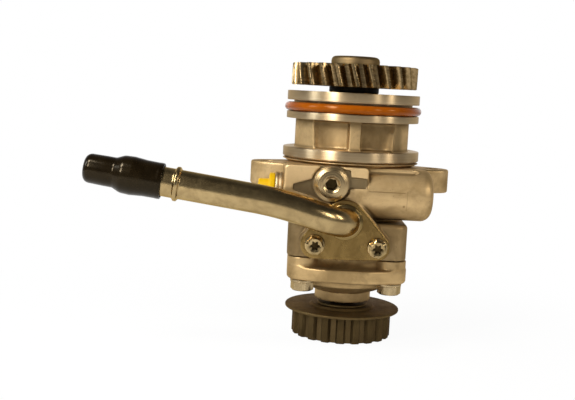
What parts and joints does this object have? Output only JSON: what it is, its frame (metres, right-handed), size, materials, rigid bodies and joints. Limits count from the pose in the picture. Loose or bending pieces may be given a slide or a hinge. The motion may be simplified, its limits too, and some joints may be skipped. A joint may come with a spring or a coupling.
{
  "type": "power steering pump",
  "caption": "Gear-driven vane pump for power steering: cast housing with spigot and two ears, bent suction pipe with a transit cap, and a toothed drive coupling below.",
  "frame": {"origin": "on the shaft's axis, at the flat lower end of the shaft, level with the foot of the drive coupling", "axes": "+Z along the shaft towards the drive gear, -Y towards the suction flange, -X along the suction pipe"},
  "size_m": [0.2232, 0.1218, 0.1808],
  "materials": {
    "cast_aluminium": "cast, machined faces",
    "sintered_steel": "dark oiled, sintered",
    "gear_steel": "oiled, hardened",
    "bright_steel": "plain zinc",
    "bearing_steel": "ground",
    "bronze": "plain",
    "yellow_zinc": "yellow passivated zinc",
    "orange_rubber": "smooth",
    "black_rubber": "smooth",
    "black_vinyl": "dipped vinyl, glossy",
    "yellow_plastic": "moulded",
    "copper": "plain copper"
  },
  "bodies": {
    "pump": {"bearing_circlip": "bright_steel", "bearing_outer_ring": "bearing_steel", "cam_ring": "gear_steel", "cover_bolt_1": "bright_steel", "cover_bolt_2": "bright_steel", "cover_bolt_3": "bright_steel", "cover_bolt_4": "bright_steel", "cover_o_ring": "black_rubber", "dowel_pin_1": "bearing_steel", "dowel_pin_2": "bearing_steel", "end_cover": "cast_aluminium", "flange_bolt_1": "yellow_zinc", "flange_bolt_2": "yellow_zinc", "flow_valve_spring": "bright_steel", "housing": "cast_aluminium", "lower_bush": "bronze", "lower_shaft_seal": "black_rubber", "lower_side_plate": "bright_steel", "outlet_union": "bright_steel", "pipe_flange_plate": "yellow_zinc", "pipe_o_ring": "black_rubber", "pressure_plate": "bright_steel", "pressure_plate_seal": "black_rubber", "relief_plug": "bright_steel", "relief_plug_washer": "copper", "spigot_o_ring": "orange_rubber", "suction_pipe": "yellow_zinc", "upper_bush": "bronze", "upper_shaft_seal": "black_rubber"},
    "shaft": {"pump_shaft": "bright_steel", "drive_gear": "gear_steel", "gear_nut": "bright_steel", "gear_key": "bright_steel", "bearing_inner_ring": "bearing_steel", "rotor": "gear_steel", "drive_coupling": "sintered_steel", "coupling_nut": "bright_steel", "coupling_washer": "bright_steel"},
    "bearing_train": {"bearing_cage": "bronze", "bearing_ball_1": "bearing_steel", "bearing_ball_2": "bearing_steel", "bearing_ball_3": "bearing_steel", "bearing_ball_4": "bearing_steel", "bearing_ball_5": "bearing_steel", "bearing_ball_6": "bearing_steel", "bearing_ball_7": "bearing_steel", "bearing_ball_8": "bearing_steel"},
    "spool": {"flow_valve_spool": "bearing_steel"},
    "cap": {"pipe_cap": "black_vinyl"},
    "plug": {"transit_plug": "yellow_plastic"},
    "vane_body_1": {"vane_1": "bearing_steel"},
    "vane_body_2": {"vane_2": "bearing_steel"},
    "vane_body_3": {"vane_3": "bearing_steel"},
    "vane_body_4": {"vane_4": "bearing_steel"},
    "vane_body_5": {"vane_5": "bearing_steel"},
    "vane_body_6": {"vane_6": "bearing_steel"},
    "vane_body_7": {"vane_7": "bearing_steel"},
    "vane_body_8": {"vane_8": "bearing_steel"},
    "vane_body_9": {"vane_9": "bearing_steel"},
    "vane_body_10": {"vane_10": "bearing_steel"}
  },
  "joints": [
    {"name": "shaft_spin", "type": "hinge", "parent": "pump", "child": "shaft", "pos_m": [0, 0, 0], "axis": [0, 0, 1], "continuous": true},
    {"name": "bearing_train_spin", "type": "hinge", "parent": "pump", "child": "bearing_train", "pos_m": [0, 0, 0.145], "axis": [0, 0, 1], "continuous": true},
    {"name": "vane_1_slide", "type": "slide", "parent": "shaft", "child": "vane_body_1", "axis": [0.9511, 0.309, 0], "range_m": [-0.0014, 0]},
    {"name": "vane_2_slide", "type": "slide", "parent": "shaft", "child": "vane_body_2", "axis": [0.5878, 0.809, 0], "range_m": [-0.0014, 0]},
    {"name": "vane_3_slide", "type": "slide", "parent": "shaft", "child": "vane_body_3", "axis": [0, 1, 0], "range_m": [-0.0014, 0]},
    {"name": "vane_4_slide", "type": "slide", "parent": "shaft", "child": "vane_body_4", "axis": [-0.5878, 0.809, 0], "range_m": [-0.0014, 0]},
    {"name": "vane_5_slide", "type": "slide", "parent": "shaft", "child": "vane_body_5", "axis": [-0.9511, 0.309, 0], "range_m": [-0.0014, 0]},
    {"name": "vane_6_slide", "type": "slide", "parent": "shaft", "child": "vane_body_6", "axis": [-0.9511, -0.309, 0], "range_m": [-0.0014, 0]},
    {"name": "vane_7_slide", "type": "slide", "parent": "shaft", "child": "vane_body_7", "axis": [-0.5878, -0.809, 0], "range_m": [-0.0014, 0]},
    {"name": "vane_8_slide", "type": "slide", "parent": "shaft", "child": "vane_body_8", "axis": [0, -1, 0], "range_m": [-0.0014, 0]},
    {"name": "vane_9_slide", "type": "slide", "parent": "shaft", "child": "vane_body_9", "axis": [0.5878, -0.809, 0], "range_m": [-0.0014, 0]},
    {"name": "vane_10_slide", "type": "slide", "parent": "shaft", "child": "vane_body_10", "axis": [0.9511, -0.309, 0], "range_m": [-0.0014, 0]},
    {"name": "spool_slide", "type": "slide", "parent": "pump", "child": "spool", "axis": [1, 0, 0], "range_m": [0, 0.007], "stiffness_N_per_m": 1000, "springref_m": -0.01, "deforming": ["flow_valve_spring"]},
    {"name": "cap_pull", "type": "slide", "parent": "pump", "child": "cap", "axis": [-0.9914, 0, 0.1305], "range_m": [0, 0.05]},
    {"name": "plug_pull", "type": "slide", "parent": "pump", "child": "plug", "axis": [-1, 0, 0], "range_m": [0, 0.014]}
  ],
  "couplings": [
    {"joint": "bearing_train_spin", "follows": "shaft_spin", "ratio": 0.38152}
  ]
}
